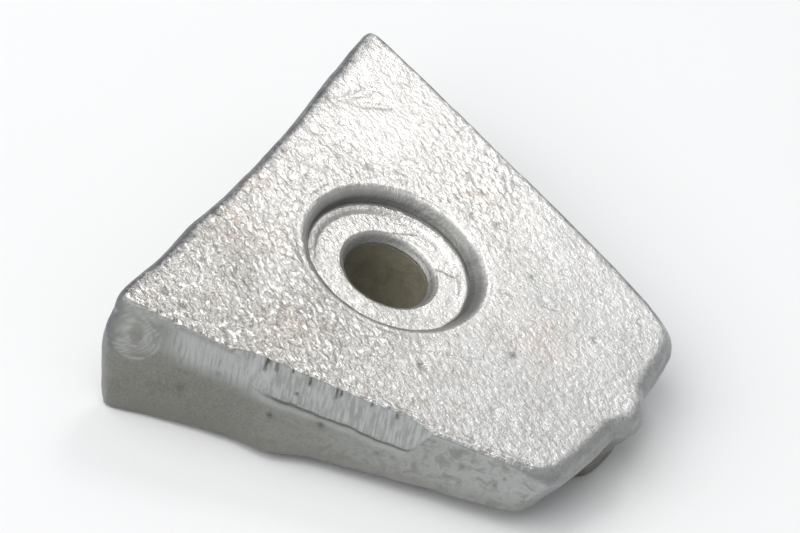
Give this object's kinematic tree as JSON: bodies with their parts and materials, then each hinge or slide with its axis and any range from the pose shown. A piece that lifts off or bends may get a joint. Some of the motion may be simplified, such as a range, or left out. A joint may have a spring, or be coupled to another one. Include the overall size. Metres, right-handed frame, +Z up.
{
  "type": "sacrificial anode block",
  "caption": "Wedge-shaped cast zinc anode block with a recessed bolt seat, a steel-bushed bolt hole and a locating lug, for bolting to a boat's drive leg.",
  "frame": {"origin": "on the seating plane of the underside, straight below the point where the bolt's axis meets the top face", "axes": "+Z up from the seating plane, +X along the wedge from its thick end to its thin end, +Y across it"},
  "size_m": [0.0508, 0.0581, 0.0178],
  "materials": {
    "cast_zinc": "as-cast zinc, bright pebbled top face with a shiny skin, duller smooth sides, one side partly dressed with a file",
    "bush_steel": "dark unpolished steel with a brown oxide film"
  },
  "bodies": {
    "root": {"zinc_body": "cast_zinc", "core_bush": "bush_steel"}
  },
  "joints": []
}
